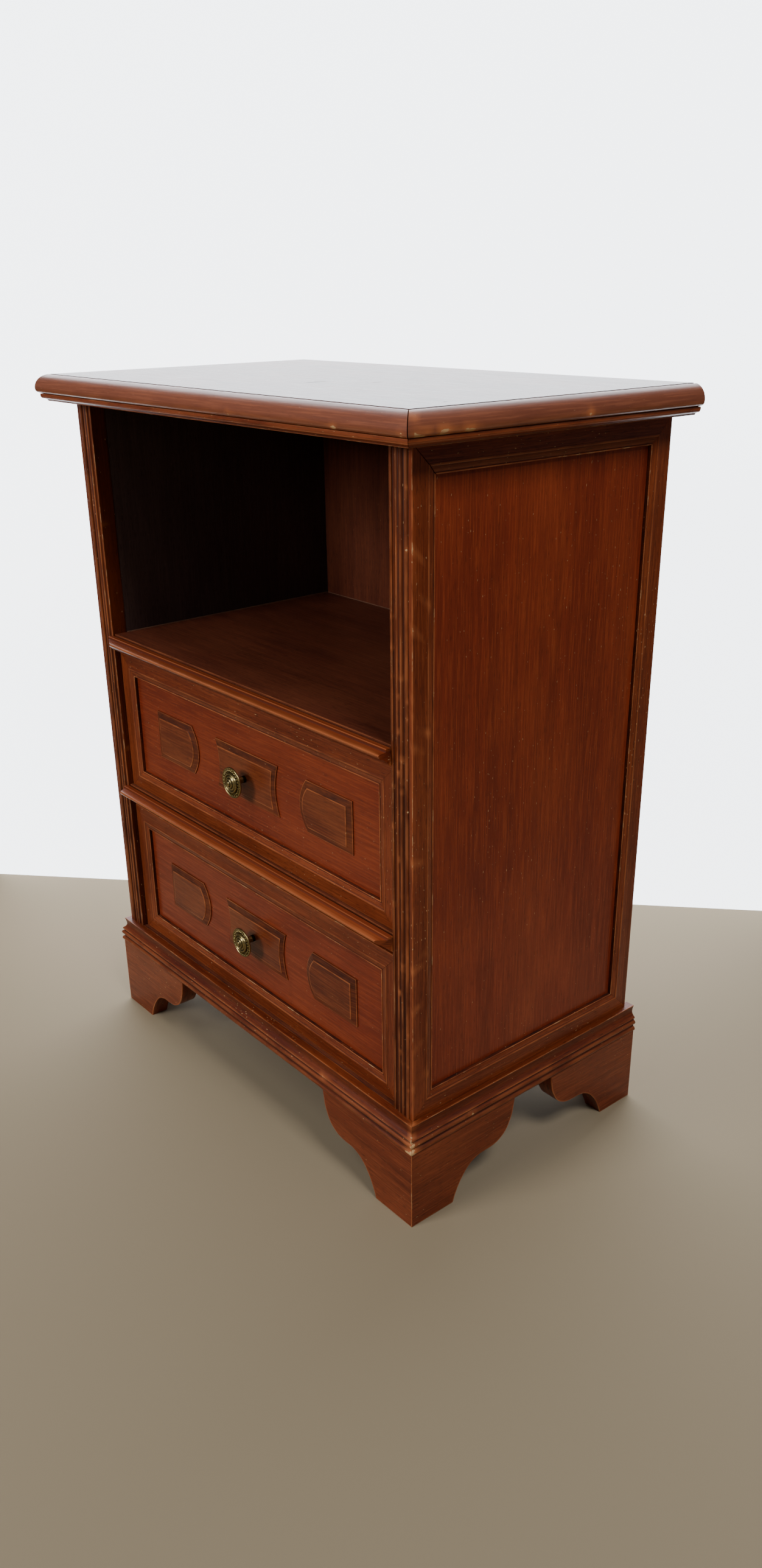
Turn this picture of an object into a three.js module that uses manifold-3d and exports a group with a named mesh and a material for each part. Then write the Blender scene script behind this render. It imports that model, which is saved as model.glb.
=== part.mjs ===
// Nightstand with an open niche over two drawers, on scalloped bracket feet.
// Millimetres, +Z up, front towards -Y, origin at the middle of the footprint on the floor.
import * as THREE from 'three';
import manifoldModule from 'manifold-3d';

const wasm = await manifoldModule();
wasm.setup();

// ---- driving dimensions -------------------------------------------------
const HEIGHT = 650;                 // floor to top surface
const CASE_WIDTH = 459;             // over the side frames
const CASE_DEPTH = 264;             // post fronts to the back edges of the sides
const BACK_THICKNESS = 4;           // back panel, held between the sides
const TOP_BACK = 267;               // rear edge of the top and its mouldings
const BASE_BACK = 271;              // rear edge of the base moulding and rear feet
const POST_WIDTH = 24;              // inner face of the opening to the outside of the case
const POST_DEPTH = 16;              // reeded strip on the front edge of each side
const FRAME_RISE = 4.6;             // side frames stand this far off their panels
const FRAME_WIDTH = 21.4;           // width of the planted frame moulding
const SHELF_TOP = 416.5;            // floor of the niche
const SHELF_THICKNESS = 15.5;
const SHELF_SETBACK = 3.5;          // shelf and divider front edge behind the post fronts
const DIVIDER_TOP = 261.9;          // the upper drawer runs on it
const DIVIDER_THICKNESS = 16.5;
const SHELF_NOSING_TOP = 415.7;
const BOTTOM_TOP = 100.5;           // board the lower drawer runs on
const BOTTOM_THICKNESS = 14;
const BASE_TOP = 100.5;             // ledge of the base moulding
const LEDGE_DEPTH = 3;              // ledge runs this far behind the post fronts
const FOOT_HEIGHT = 73.7;
const FOOT_THICKNESS = 18;
const FOOT_OVERHANG = 6.6;          // outer faces of the feet beyond the case
const CORNICE_BOTTOM = 627.4;
const TOP_UNDERSIDE = 633.5;
const TOP_JOINT = 14.1;             // joint between board and edge moulding, beyond the case
const TOP_REACH = 25.4;             // widest point of the top beyond the case
const UPPER_DRAWER = [262.2, 399.8];
const LOWER_DRAWER = [100.8, 240];
const DRAWER_CLEARANCE = 1;         // each side of a drawer front
const DRAWER_FACE = 10.8;           // veneered face behind the post fronts
const DRAWER_FRONT_THICKNESS = 16;
const DRAWER_BOX_BACK = 250;        // rear of the drawer boxes behind the post fronts
const DRAWER_WALL = 12;
const FRAME_TRIM = 2.4;             // the lower frame moulding of a drawer is this much narrower
const PLAQUE_HEIGHT = 46.5;
const PLAQUE_RISE = 3.2;
const PLAQUE_END = 147.8;           // outer edge of the end plaques from the centre line
const KNOB_DIAMETER = 28;
const UPPER_KNOB = [0.2, 328.2];    // drilled by eye: across and height
const LOWER_KNOB = [-0.8, 170.2];

const HALF = CASE_WIDTH / 2;
const OPENING = HALF - POST_WIDTH;              // half width between the posts
const PANEL_FACE = HALF - FRAME_RISE;           // outer face of the side panels
const Y_SHIFT = -(BASE_BACK - TOP_REACH) / 2;   // post fronts to the shared origin

// ---- mesh builders ------------------------------------------------------
function geometryOf(positions, triangles) {
  let volume = 0;
  const at = (i) => new THREE.Vector3().fromArray(positions[i]);
  for (const [a, b, c] of triangles) volume += at(a).dot(at(b).cross(at(c)));
  const g = new THREE.BufferGeometry();
  g.setAttribute('position', new THREE.Float32BufferAttribute(positions.flat(), 3));
  g.setIndex(triangles.map(([a, b, c]) => (volume > 0 ? [a, b, c] : [a, c, b])).flat());
  return g;
}

// Bodies built from rings with equal point counts, closed by flat ends.
function loft(rings, capOutline) {
  const n = rings[0].length;
  const positions = rings.flat();
  const triangles = [];
  for (let r = 0; r + 1 < rings.length; r++) {
    for (let i = 0; i < n; i++) {
      const j = (i + 1) % n;
      const [a, b] = [r * n + i, r * n + j];
      triangles.push([a, b, b + n], [a, b + n, a + n]);
    }
  }
  const caps = THREE.ShapeUtils.triangulateShape(capOutline.map(([u, v]) => new THREE.Vector2(u, v)), []);
  const last = (rings.length - 1) * n;
  const ccw = THREE.ShapeUtils.isClockWise(capOutline.map(([u, v]) => new THREE.Vector2(u, v))) ? -1 : 1;
  for (const [a, b, c] of caps) {
    triangles.push(ccw > 0 ? [a, c, b] : [a, b, c]);
    triangles.push(ccw > 0 ? [last + a, last + b, last + c] : [last + a, last + c, last + b]);
  }
  return geometryOf(positions, triangles);
}

// A section run from t0 to t1; k0 and k1 tilt its ends for mitres (0 = square).
function strip(section, t0, t1, k0, k1, place) {
  const ccw = THREE.ShapeUtils.isClockWise(section.map(([u, v]) => new THREE.Vector2(u, v)));
  const outline = ccw ? [...section].reverse() : section;
  const ring = (t, k) => outline.map(([p, q]) => place(t + k * p, p, q));
  return loft([ring(t0, k0), ring(t1, k1)], outline);
}

function box(x0, x1, y0, y1, z0, z1) {
  return strip([[x0, y0], [x1, y0], [x1, y1], [x0, y1]], z0, z1, 0, 0, (t, p, q) => [p, q, t]);
}

function arc(cx, cy, r, from, to, steps) {
  return Array.from({ length: steps + 1 }, (_, i) => {
    const a = THREE.MathUtils.degToRad(from + ((to - from) * i) / steps);
    return [cx + r * Math.cos(a), cy + r * Math.sin(a)];
  });
}

// Solid of revolution about a Y axis; profile is [radius, y] from pole to pole.
function turned(profile, segments, cx, cz) {
  const inner = profile.slice(1, -1);
  const positions = [[cx, profile[0][1], cz]];
  for (const [r, y] of inner) {
    for (let s = 0; s < segments; s++) {
      const a = (2 * Math.PI * s) / segments;
      positions.push([cx + r * Math.cos(a), y, cz + r * Math.sin(a)]);
    }
  }
  positions.push([cx, profile.at(-1)[1], cz]);
  const end = positions.length - 1;
  const id = (k, s) => 1 + k * segments + (s % segments);
  const triangles = [];
  for (let s = 0; s < segments; s++) {
    triangles.push([0, id(0, s + 1), id(0, s)]);
    triangles.push([end, id(inner.length - 1, s), id(inner.length - 1, s + 1)]);
    for (let k = 0; k + 1 < inner.length; k++) {
      triangles.push([id(k, s), id(k, s + 1), id(k + 1, s + 1)], [id(k, s), id(k + 1, s + 1), id(k + 1, s)]);
    }
  }
  return geometryOf(positions, triangles);
}

function toManifold(g) {
  return new wasm.Manifold(new wasm.Mesh({
    numProp: 3,
    vertProperties: new Float32Array(g.attributes.position.array),
    triVerts: new Uint32Array(g.index.array),
  }));
}

function fromManifold(solid) {
  const m = solid.getMesh();
  const g = new THREE.BufferGeometry();
  const xyz = new Float32Array(m.numVert * 3);
  for (let i = 0; i < m.numVert; i++) {
    for (let k = 0; k < 3; k++) xyz[3 * i + k] = m.vertProperties[m.numProp * i + k];
  }
  g.setAttribute('position', new THREE.BufferAttribute(xyz, 3));
  g.setIndex(Array.from(m.triVerts));
  return g;
}

// ---- the assembly -------------------------------------------------------
const group = new THREE.Group();
const COLOURS = { wood: 0x6b2c17, veneer: 0x74341c, inside: 0x4a2214, box: 0xa77b4e, brass: 0x8c7a4c };

function add(name, geometry, colour, metal = false) {
  const g = geometry.index ? geometry.toNonIndexed() : geometry;
  g.translate(0, Y_SHIFT, 0);
  g.computeVertexNormals();
  const material = new THREE.MeshStandardMaterial({
    color: COLOURS[colour], roughness: metal ? 0.35 : 0.4, metalness: metal ? 1 : 0, flatShading: true,
  });
  const mesh = new THREE.Mesh(g, material);
  mesh.name = name;
  group.add(mesh);
}

const SIDES = [['left', -1], ['right', 1]];

// Three mitred lengths round the front and sides, square at the back.
// The section is [reach beyond the case, height], clipped to its inner edges.
function surround(name, section, frontInner, sideInner, back) {
  const clip = (inner) => section.map(([n, z]) => [Math.max(n, inner), z]);
  add(`${name}_front`, strip(clip(frontInner), -HALF, HALF, -1, 1, (t, n, z) => [t, -n, z]), 'wood');
  for (const [side, s] of SIDES) {
    add(`${name}_${side}`, strip(clip(sideInner), 0, back, -1, 0, (t, n, z) => [s * (HALF + n), t, z]), 'wood');
  }
}

// Top board with its glued edge mouldings, and the cornice strips below.
add('top_board', box(-HALF - TOP_JOINT, HALF + TOP_JOINT, -TOP_JOINT, TOP_BACK, TOP_UNDERSIDE, HEIGHT), 'veneer');
const OVOLO = [
  [TOP_JOINT, TOP_UNDERSIDE], [19.5, TOP_UNDERSIDE], [22.5, 634.1], [23.9, 634.8], [24.8, 635.6], [25.25, 636.8],
  ...arc(0, 0, 1, 0, 90, 9).map(([u, v]) => [TOP_JOINT + 11.3 * u, 638.2 + (HEIGHT - 638.2) * v]),
];
surround('top_edge', OVOLO, TOP_JOINT, TOP_JOINT, TOP_BACK);
const CORNICE = [
  [-POST_WIDTH, CORNICE_BOTTOM], [17.5, CORNICE_BOTTOM], [17.7, 628.1], [18.3, 628.7], [19.3, 629.2], [20.6, 629.5],
  [21.4, 629.9], [21.9, 630.4], [22.1, 631.0], [22.3, 631.2], [22.3, TOP_UNDERSIDE], [-POST_WIDTH, TOP_UNDERSIDE],
];
surround('cornice', CORNICE, -20, -POST_WIDTH, TOP_BACK);

// Sides, back, shelf, divider, bottom and the rail behind the base moulding.
for (const [side, s] of SIDES) {
  const x = [s * OPENING, s * PANEL_FACE].sort((a, b) => a - b);
  add(`side_panel_${side}`, box(...x, POST_DEPTH, CASE_DEPTH, FOOT_HEIGHT, CORNICE_BOTTOM), 'veneer');
}
const BACK_FACE = CASE_DEPTH - BACK_THICKNESS;
add('back_panel', box(-OPENING, OPENING, BACK_FACE, CASE_DEPTH, FOOT_HEIGHT, TOP_UNDERSIDE), 'inside');
for (const [name, front, top, thickness] of [
  ['niche_shelf', SHELF_SETBACK, SHELF_TOP, SHELF_THICKNESS],
  ['drawer_divider', SHELF_SETBACK, DIVIDER_TOP, DIVIDER_THICKNESS],
  ['bottom_board', POST_DEPTH, BOTTOM_TOP, BOTTOM_THICKNESS],
]) add(name, box(-OPENING, OPENING, front, BACK_FACE, top - thickness, top), 'inside');
add('bottom_rail', box(-PANEL_FACE, PANEL_FACE, LEDGE_DEPTH, POST_DEPTH, FOOT_HEIGHT, BOTTOM_TOP), 'wood');

// Reeded front posts: [distance from the opening, depth behind the front plane].
const REEDS = [
  [0, 1.3], [0.4, 1.0], [2.0, 1.0], [2.3, 1.5], [2.6, 2.3], [6.0, 2.3], [6.4, 1.1], [7.1, 0.6], [7.9, 0.9],
  [8.5, 1.5], [9.2, 1.6], [10.0, 1.2], [10.8, 0.6], [11.5, 0.5], [12.3, 0.7], [12.9, 1.3], [13.6, 2.0], [15.2, 2.2],
  ...arc(17.3, 1.8, 1.8, 172, 8, 10).map(([d, q]) => [d, 3.6 - q]), [POST_WIDTH - FRAME_RISE, 2.5],
];
for (const [side, s] of SIDES) {
  const section = [[0, POST_DEPTH], ...REEDS, [POST_WIDTH - FRAME_RISE, POST_DEPTH]];
  add(`front_post_${side}`,
    strip(section, BASE_TOP, CORNICE_BOTTOM, 0, 0, (t, d, y) => [s * (OPENING + d), y, t]), 'wood');
}

// Nosings: [depth, height below the top edge]; each end is square or splayed back.
const NOSING = [
  [SHELF_SETBACK, -3.0], [1.0, -3.0], [1.0, 0], [-3.3, 0], [-3.6, -0.3], [-3.6, -2.1], [-4.1, -2.5], [-6.5, -2.6],
  [-8.9, -2.8], [-10.2, -3.1], [-10.8, -3.8], [-10.7, -4.8], [-10.0, -5.9], [-8.5, -6.8], [-6.6, -7.6],
  [-4.6, -8.9], [-2.6, -10.7], [-0.9, -12.8], [0.5, -13.7], [SHELF_SETBACK, -13.7],
];
for (const [name, top, splays] of [
  ['niche_shelf_nosing', SHELF_NOSING_TOP, [2.0, 0]],
  ['drawer_divider_nosing', DIVIDER_TOP, [0.6, 1.1]],
]) {
  const outline = NOSING.map(([y, h]) => [y, top + h]);
  const rings = SIDES.map(([, s], e) =>
    outline.map(([y, z]) => [s * (OPENING - Math.max(0, -y - 3.6) * splays[e]), y, z]));
  add(name, loft(rings, outline), 'wood');
}

// Mitred picture-frame moulding: [distance in from the outer edge, height off the panel].
const FRAME = [
  [0, 0], [0, 3.9], [0.4, 4.2], [FRAME_TRIM, 4.2], [13.4, 4.2], [13.9, 4.45], [14.6, FRAME_RISE], [15.3, 4.45],
  [15.7, 4.0], [16.6, 3.9], [17.6, 3.7], [18.8, 3.3], [19.7, 2.9], [20.1, 2.8], [20.5, 3.2], [20.9, 3.3],
  [21.3, 3.0], [FRAME_WIDTH, 0], [FRAME_TRIM, 0],
];
// The rectangle u0..u1, v0..v1 is the outside of the frame; trim narrows the bottom length.
function pictureFrame(name, ends, u0, u1, v0, v1, trim, place) {
  const low = v0 - trim;
  const narrow = FRAME.map(([w, h]) => [Math.max(w, trim), h]).filter(
    ([w, h], i, all) => i === 0 || Math.hypot(w - all[i - 1][0], h - all[i - 1][1]) > 0.001);
  const runs = [
    [ends[0], FRAME, u1 - u0, (t, w, h) => place(u0 + t, v1 - w, h)],
    [ends[1], trim > 0 ? narrow.slice(0, -1) : FRAME, u1 - u0, (t, w, h) => place(u0 + t, low + w, h)],
    [ends[2], FRAME, v1 - low, (t, w, h) => place(u0 + w, Math.max(low + t, v0), h)],
    [ends[3], FRAME, v1 - low, (t, w, h) => place(u1 - w, Math.max(low + t, v0), h)],
  ];
  for (const [end, section, length, put] of runs) {
    add(`${name}_${end}`, strip(section, 0, length, 1, -1, put), 'wood');
  }
}
for (const [side, s] of SIDES) {
  pictureFrame(`side_frame_${side}`, ['top', 'bottom', 'front', 'rear'], 1, CASE_DEPTH, BASE_TOP, CORNICE_BOTTOM, 0,
    (u, v, h) => [s * (PANEL_FACE + h), u, v]);
}

// Base moulding: ledge, cove, flared lip and two beads, planted round the foot of the case.
const BASE = [
  [-FRAME_RISE, FOOT_HEIGHT], ...arc(5.5, 76.4, 2.6, -75, 75, 8), [6.0, 79.3], [6.0, 80.6],
  ...arc(5.7, 83.3, 2.4, -75, 75, 8), [5.9, 86.0], [5.9, 86.9], [6.8, 87.3], [7.1, 88.2], [6.3, 89.2], [5.0, 90.3],
  [3.9, 91.8], [3.3, 93.5], [3.4, 95.5], [3.8, 97.5], [4.3, 99.2], [4.6, 99.9], [4.6, BASE_TOP], [-FRAME_RISE, BASE_TOP],
];
surround('base_moulding', BASE, -LEDGE_DEPTH, -FRAME_RISE, BASE_BACK);

// Bracket feet: outline of one board, [distance from the corner, height].
const BRACKET = [
  [0, 0], [46.7, 0], [49.2, 6.8], [52.4, 13.6], [55.3, 18.7], [58.4, 22.9], [64.1, 29.0], [70.4, 33.1], [74.6, 34.7],
  [79.0, 35.5], [87.3, 35.6], [95.7, 36.5], [101.6, 38.7], [105.4, 41.0], [108.5, 43.7], [112.9, 50.6],
  [116.6, 59.7], [117.6, 65.5], [118.8, FOOT_HEIGHT], [0, FOOT_HEIGHT],
];
const REAR_TRIM = 5.8;              // the rear feet are this much shorter front to back
for (const [side, s] of SIDES) {
  const x = HALF + FOOT_OVERHANG;
  for (const [end, face, dir, trim] of [['front', -FOOT_OVERHANG, 1, 0], ['rear', BASE_BACK, -1, REAR_TRIM]]) {
    const across = strip(BRACKET, 0, FOOT_THICKNESS, 0, 0, (t, d, z) => [s * (x - d), face + dir * t, z]);
    const along = strip(BRACKET, 0, FOOT_THICKNESS, 0, 0,
      (t, d, z) => [s * (x - t), face + dir * Math.max(0, d - trim), z]);
    add(`foot_${end}_${side}`, fromManifold(toManifold(across).add(toManifold(along))), 'wood');
  }
}

// Raised plaque: straight long edges, ends that are straight, bowed or hollowed.
// Each level is [share of the bevel, height]; an end is [corner x, bow, inset, bow lost at the field].
const PLAQUE_LEVELS = [[0, 0], [0, 1.0], [0.9, 2.6], [0.92, 3.1], [1, PLAQUE_RISE]];
const PLAQUE_BEVEL = 6.2;
function plaque(ends, zc) {
  const steps = 14;
  const rings = PLAQUE_LEVELS.map(([share, rise]) => ends.flatMap(([corner, bow, inset, loss], e) => {
    const outward = e === 0 ? -1 : 1;
    return Array.from({ length: steps + 1 }, (_, i) => {
      const v = -outward * (1 - (2 * i) / steps);
      const x = corner - outward * inset * share + outward * (bow - loss * share) * (1 - v * v);
      return [x, DRAWER_FACE - rise, zc + v * (PLAQUE_HEIGHT / 2 - PLAQUE_BEVEL * share)];
    });
  }));
  return loft(rings, rings[0].map(([x, , z]) => [x, z]));
}
const PLAQUES = {
  left: [[-PLAQUE_END, 0, 6.5, 0], [-87.3, 9.7, 4.2, 2.4]],
  centre: [[-47.7, -4.7, 6.6, -2.6], [47.7, -4.7, 6.6, -2.6]],
  right: [[87.3, 9.7, 4.2, 2.4], [PLAQUE_END, 0, 6.5, 0]],
};

// Turned knob on a slim stem: [radius, distance in front of the plaque].
const R = KNOB_DIAMETER / 2;
const KNOB = [
  [0, 0], [3.3, 0], [3.1, 1.2], [3.0, 5.0], [3.1, 8.6], [4.2, 10.2], [7.0, 11.2], [11.2, 11.9], [13.4, 12.2], [R, 12.9],
  [R - 0.1, 13.7], [13.4, 14.3], [12.7, 14.3], [12.2, 13.7], [11.0, 13.6], [9.6, 13.6], [9.2, 14.0], [9.0, 15.0],
  [8.5, 15.7], [7.8, 15.8], [7.2, 15.4], [6.4, 15.5], [5.2, 16.4], [4.2, 17.0], [3.4, 17.0], [2.8, 17.5], [1.6, 18.1],
  [0, 18.3],
];

function drawer(name, [z0, z1], floor, [knobX, knobZ]) {
  const half = OPENING - DRAWER_CLEARANCE;
  const zc = (z0 + z1 - FRAME_TRIM) / 2;
  const back = DRAWER_FACE + DRAWER_FRONT_THICKNESS;
  add(`${name}_front_panel`, box(-half, half, DRAWER_FACE, back, z0, z1), 'veneer');
  pictureFrame(`${name}_frame`, ['top', 'bottom', 'left', 'right'], -half, half, z0, z1, FRAME_TRIM,
    (u, v, h) => [u, DRAWER_FACE - h, v]);
  for (const [which, ends] of Object.entries(PLAQUES)) add(`${name}_plaque_${which}`, plaque(ends, zc), 'veneer');
  add(`${name}_knob`, turned(KNOB.map(([r, d]) => [r, DRAWER_FACE - PLAQUE_RISE - d]), 48, knobX, knobZ), 'brass', true);
  // Plain box behind the front: sides, back and a thin bottom held between them.
  const outer = OPENING - 2;
  const inner = outer - DRAWER_WALL;
  const low = floor + 0.3;
  const top = z1 - 22;
  for (const [side, s] of SIDES) {
    const x = [s * inner, s * outer].sort((a, b) => a - b);
    add(`${name}_side_${side}`, box(...x, back, DRAWER_BOX_BACK, low, top), 'box');
  }
  add(`${name}_back`, box(-inner, inner, DRAWER_BOX_BACK - DRAWER_WALL, DRAWER_BOX_BACK, low, top), 'box');
  add(`${name}_bottom`, box(-inner, inner, back, DRAWER_BOX_BACK - DRAWER_WALL, low + 6, low + 11), 'box');
}
drawer('upper_drawer', UPPER_DRAWER, DIVIDER_TOP, UPPER_KNOB);
drawer('lower_drawer', LOWER_DRAWER, BOTTOM_TOP, LOWER_KNOB);

export default group;
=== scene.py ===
import math

import bpy
import numpy as np
from mathutils import Matrix, Vector


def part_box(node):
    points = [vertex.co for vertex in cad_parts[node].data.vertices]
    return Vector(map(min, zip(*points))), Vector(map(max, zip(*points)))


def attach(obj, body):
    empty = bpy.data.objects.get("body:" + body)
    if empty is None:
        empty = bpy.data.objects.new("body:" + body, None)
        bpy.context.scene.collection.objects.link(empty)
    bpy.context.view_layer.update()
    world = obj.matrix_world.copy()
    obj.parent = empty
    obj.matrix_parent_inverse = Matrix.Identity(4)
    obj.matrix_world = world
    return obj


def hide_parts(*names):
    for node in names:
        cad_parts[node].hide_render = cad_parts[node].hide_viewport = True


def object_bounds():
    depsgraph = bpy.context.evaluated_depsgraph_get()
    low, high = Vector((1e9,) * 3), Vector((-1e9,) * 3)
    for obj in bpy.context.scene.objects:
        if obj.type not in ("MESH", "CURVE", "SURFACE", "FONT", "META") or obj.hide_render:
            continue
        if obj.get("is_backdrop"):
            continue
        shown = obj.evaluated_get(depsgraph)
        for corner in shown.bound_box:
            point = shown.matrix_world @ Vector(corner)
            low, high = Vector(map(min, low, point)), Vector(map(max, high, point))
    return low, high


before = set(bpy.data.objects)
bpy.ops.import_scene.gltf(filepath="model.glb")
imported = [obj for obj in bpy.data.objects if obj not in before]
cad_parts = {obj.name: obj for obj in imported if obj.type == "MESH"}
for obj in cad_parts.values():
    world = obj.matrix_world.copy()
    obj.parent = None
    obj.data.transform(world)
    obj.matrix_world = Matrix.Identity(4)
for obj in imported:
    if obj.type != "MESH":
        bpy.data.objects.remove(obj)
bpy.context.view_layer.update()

# ---------------------------------------------------------------------------
# Setting out. Everything is measured from the upright planes of the case: its
# half width, the front plane of the posts and the back edges of the sides.
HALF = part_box("side_frame_right_front")[1].x * 1000          # outside of the side frames
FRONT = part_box("front_post_right")[0].y * 1000               # front plane of the posts
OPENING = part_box("niche_shelf")[1].x * 1000                  # inner face of the posts
CASE_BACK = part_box("side_panel_right")[1].y * 1000 - FRONT   # depths are counted from the front plane
TOP_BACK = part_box("top_board")[1].y * 1000 - FRONT
BASE_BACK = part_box("base_moulding_left")[1].y * 1000 - FRONT
SIDES = (("left", -1), ("right", 1))


def at(x, y, z):
    """Millimetres from the centre line, the front plane and the floor, as metres in the frame."""
    return (x / 1000, (y + FRONT) / 1000, z / 1000)


# ---------------------------------------------------------------------------
# Wood finishes. Mahogany-coloured stain under clear lacquer: streaked figure,
# short dark pores, bare pale wood where arrises are rubbed, pale arris lines that are partly painted
# highlight, dust in hollows, and the same dark mask as painted shade on frame lips and plaque bevels.
def srgb(code):
    """A hex colour as linear red, green, blue and alpha."""
    parts = [int(code[i:i + 2], 16) / 255 for i in (1, 3, 5)]
    return [c / 12.92 if c <= 0.04045 else ((c + 0.055) / 1.055) ** 2.4 for c in parts] + [1]


def add_node(tree, kind, inputs=(), **settings):
    """Adds a node; its inputs are given by name or number, as values or as sockets to link."""
    made = tree.nodes.new(kind)
    for key, value in settings.items():
        setattr(made, key, value)
    for key, value in dict(inputs).items():
        if isinstance(value, bpy.types.NodeSocket):
            tree.links.new(value, made.inputs[key])
        else:
            made.inputs[key].default_value = value
    return made


# the dark of dust and old polish, also the colour of painted shade on frame lips and plaque bevels
DIRT_AND_SHADE = srgb("#1d0c0a")


def lacquered_wood(name, dark, middle, light, pore="#1c0904", bare="#c29a6c", rubbed_and_highlit="#b0653a", gloss=0.36,
                   coat=0.05, sheen=0.24, figure=1.0, pores=1.0, rubbing=1.0, flecks=1.0):
    """Lacquered wood in three tones; the last four numbers say how strong each effect shows."""
    material = bpy.data.materials.new(name)
    material.use_nodes = True
    tree = material.node_tree
    shader = tree.nodes["Principled BSDF"]
    shader.inputs["Specular IOR Level"].default_value = sheen
    grain = add_node(tree, "ShaderNodeUVMap", uv_map="grain").outputs[0]

    def pattern(along, across, detail, rough=0.5, twist=0.0):
        """Noise stretched along the grain; the scales are waves per metre."""
        place = add_node(tree, "ShaderNodeMapping", {"Vector": grain, "Scale": (along, across, 1)})
        return add_node(tree, "ShaderNodeTexNoise", {
            "Vector": place.outputs[0], "Scale": 1.0, "Detail": detail, "Roughness": rough,
            "Distortion": twist}, noise_dimensions="2D").outputs["Fac"]

    def between(value, low, high, start=0.0, end=1.0):
        return add_node(tree, "ShaderNodeMapRange", {
            "Value": value, "From Min": low, "From Max": high, "To Min": start, "To Max": end}).outputs[0]

    def blend(factor, a, b, kind="MIX"):
        return add_node(tree, "ShaderNodeMix", {0: factor, 6: a, 7: b}, data_type="RGBA",
                        blend_type=kind).outputs[2]

    def maths(kind, a, b, c=0.0):
        return add_node(tree, "ShaderNodeMath", {0: a, 1: b, 2: c}, operation=kind).outputs[0]

    streaks = pattern(3.5, 95, 3, 0.55, 0.6)
    fine = pattern(22, 700, 4, 0.6)
    cloud = pattern(7, 16, 2)
    short = pattern(110, 1500, 1)
    colour = blend(between(streaks, 0.35, 0.65, 0.5 - 0.5 * figure, 0.5 + 0.5 * figure), srgb(dark),
                   srgb(middle))
    colour = blend(maths("MULTIPLY", between(cloud, 0.4, 0.75), 0.75 * figure), colour, srgb(light))
    colour = blend(between(fine, 0.50, 0.34, 0.0, 0.4), colour, srgb(light))
    colour = blend(between(fine, 0.52, 0.7, 0.0, 0.32), colour, srgb(dark))
    in_pore = between(short, 0.63, 0.73, 0.0, 0.5 * pores)
    colour = blend(in_pore, colour, srgb(pore))

    # dust and old polish lodge in the hollows; on the frames' inner lips and the plaque bevels the same dark
    # mask is painted shade
    hollow = add_node(tree, "ShaderNodeAttribute", attribute_name="grime_and_shade").outputs["Fac"]
    dirt_and_shade = maths("MULTIPLY", hollow, between(pattern(60, 220, 2), 0.3, 0.7, 0.35, 0.85))
    colour = blend(dirt_and_shade, colour, DIRT_AND_SHADE)

    # rubbed arrises: first the stain thins, then bare wood shows in short runs; the thinned pale lines are
    # partly painted highlight
    arris = add_node(tree, "ShaderNodeAttribute", attribute_name="wear_and_highlight").outputs["Fac"]
    thinned_and_highlit = between(pattern(30, 90, 3), 0.35, 0.6, 0.2, 0.95 * min(1, rubbing + 0.3))
    thinned_and_highlit = maths("MULTIPLY", arris, thinned_and_highlit)
    colour = blend(thinned_and_highlit, colour, srgb(rubbed_and_highlit))
    run = maths("MULTIPLY", arris, pattern(55, 260, 4, 0.62))
    chip = between(run, 0.63 - 0.06 * rubbing, 0.67 - 0.06 * rubbing, 0.0, min(1, rubbing))
    scatter = between(pattern(5, 9, 1), 0.45, 0.75, 0.0, 0.05 * flecks)
    speck = between(maths("ADD", pattern(260, 800, 1), scatter), 0.83, 0.845, 0.0, min(1, flecks) * 0.9)
    worn = maths("MAXIMUM", chip, speck)
    colour = blend(worn, colour, srgb(bare))
    tree.links.new(colour, shader.inputs["Base Color"])

    rough = maths("ADD", between(fine, 0.3, 0.7, gloss, gloss + 0.08), maths("MULTIPLY", dirt_and_shade, 0.3))
    rough = maths("ADD", rough, maths("MULTIPLY", worn, 0.4))
    tree.links.new(rough, shader.inputs["Roughness"])
    tree.links.new(maths("MULTIPLY", maths("SUBTRACT", 1.0, worn), maths("SUBTRACT", coat, dirt_and_shade)),
                   shader.inputs["Coat Weight"])
    shader.inputs["Coat Roughness"].default_value = gloss * 0.6
    shader.inputs["Coat IOR"].default_value = 1.5
    height = maths("SUBTRACT", maths("MULTIPLY", fine, 0.25), in_pore)
    height = maths("SUBTRACT", height, maths("MULTIPLY", worn, 1.2))
    relief = add_node(tree, "ShaderNodeBump", {
        "Strength": 0.22, "Distance": 0.0002, "Height": height}).outputs[0]
    sag = add_node(tree, "ShaderNodeBump", {
        "Strength": 0.10, "Distance": 0.0006, "Height": pattern(70, 110, 1), "Normal": relief}).outputs[0]
    tree.links.new(relief, shader.inputs["Normal"])
    tree.links.new(sag, shader.inputs["Coat Normal"])
    return material


# stained mahogany mouldings, satin lacquer, rubbed on the arrises
solid = lacquered_wood("lacquered_mahogany_moulding", "#58220f", "#76321a", "#954a29", gloss=0.33,
                       figure=0.55)
# the rounded edge of the top, the same wood, bruised; its tones are lighter and greyer, a painted sheen for
# the haze it reflects
shaped_painted_sheen = lacquered_wood("lacquered_mahogany_painted_sheen", "#64301d", "#80452e", "#9c5c40", coat=0.2, sheen=0.5,
                        figure=0.3, pores=0.35, rubbing=1.2, flecks=0.4)
# the base moulding, stained a little darker, dusty in its grooves
stained = lacquered_wood("lacquered_mahogany_base", "#431509", "#5e2410", "#7d3a1b", gloss=0.35, sheen=0.26,
                         figure=0.6, rubbing=1.4)
# the posts, stained darker and knocked harder
knocked = lacquered_wood("lacquered_mahogany_knocked", "#371208", "#511d0b", "#70300f", sheen=0.28,
                         figure=0.7, rubbing=1.7, flecks=1.3)
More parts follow.
